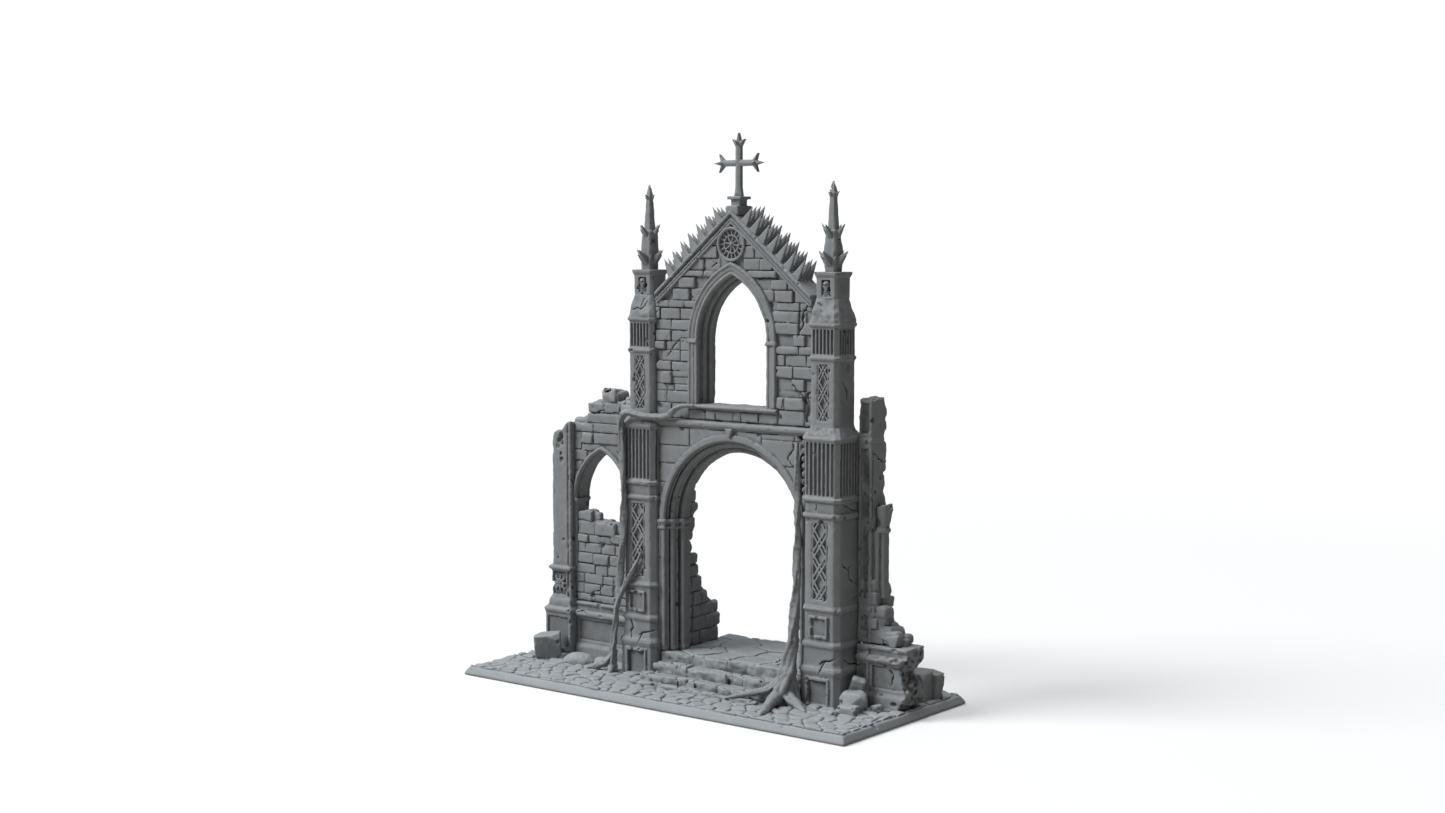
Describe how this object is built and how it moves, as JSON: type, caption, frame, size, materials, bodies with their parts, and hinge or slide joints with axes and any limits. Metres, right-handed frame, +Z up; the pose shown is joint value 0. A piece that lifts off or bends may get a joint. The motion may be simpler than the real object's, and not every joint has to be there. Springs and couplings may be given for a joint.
{
  "type": "miniature gothic gateway ruin",
  "caption": "Tabletop terrain ruin: arched gateway with gabled lancet window, spired towers, cross finial, broken side walls, worn steps, roots and cobbled base.",
  "frame": {"origin": "centre of the flat underside of the base slab, on the table", "axes": "+Z up, X along the facade with +X to the right seen from the front, -Y is the front with the steps"},
  "size_m": [0.2, 0.0882, 0.2298],
  "materials": {
    "stone_casting": "matte grey resin",
    "base_casting": "matte grey resin",
    "paving_casting": "matte grey resin",
    "growth_casting": "matte grey resin",
    "rubble_casting": "matte grey resin",
    "peg_rod": "plain moulded rod"
  },
  "bodies": {
    "root": {"base_slab": "base_casting", "cobble_paving": "paving_casting", "landing_floor": "paving_casting", "step_upper": "paving_casting", "step_middle": "paving_casting", "step_lower": "paving_casting", "tower_plinth_left": "stone_casting", "tower_plinth_right": "stone_casting", "tower_pedestal_left": "stone_casting", "tower_pedestal_right": "stone_casting", "tower_shaft_lower_left": "stone_casting", "tower_shaft_lower_right": "stone_casting", "tower_frieze_lower_left": "stone_casting", "tower_frieze_lower_right": "stone_casting", "tower_shaft_upper_left": "stone_casting", "tower_shaft_upper_right": "stone_casting", "tower_frieze_upper_left": "stone_casting", "tower_frieze_upper_right": "stone_casting", "niche_block_left": "stone_casting", "niche_block_right": "stone_casting", "tower_cap_left": "stone_casting", "tower_cap_right": "stone_casting", "spire_left": "stone_casting", "spire_right": "stone_casting", "spire_thorns": "stone_casting", "niche_skulls": "stone_casting", "lattice_panels_lower": "stone_casting", "lattice_panels_upper": "stone_casting", "portal_jamb_left": "stone_casting", "portal_jamb_right": "stone_casting", "portal_imposts": "stone_casting", "portal_arch_outer": "stone_casting", "portal_arch_middle": "stone_casting", "portal_arch_inner": "stone_casting", "portal_spandrel_wall": "stone_casting", "cornice": "stone_casting", "gable_wall": "stone_casting", "lancet_frame": "stone_casting", "lancet_reveal": "stone_casting", "lancet_sill": "stone_casting", "rose_medallion": "stone_casting", "gable_coping": "stone_casting", "crest_spikes": "stone_casting", "apex_pedestal": "stone_casting", "cross_finial": "stone_casting", "left_wing_plinth": "stone_casting", "left_wing_wall": "stone_casting", "left_window_arch": "stone_casting", "left_window_infill": "stone_casting", "left_end_pier": "stone_casting", "pier_rosette": "stone_casting", "right_wing_plinth": "stone_casting", "right_wing_wall": "stone_casting", "right_window_shaft": "stone_casting", "return_wall": "stone_casting", "tree_root": "growth_casting", "ivy_vine": "growth_casting", "loose_rubble": "rubble_casting", "locating_pegs": "peg_rod"}
  },
  "joints": []
}
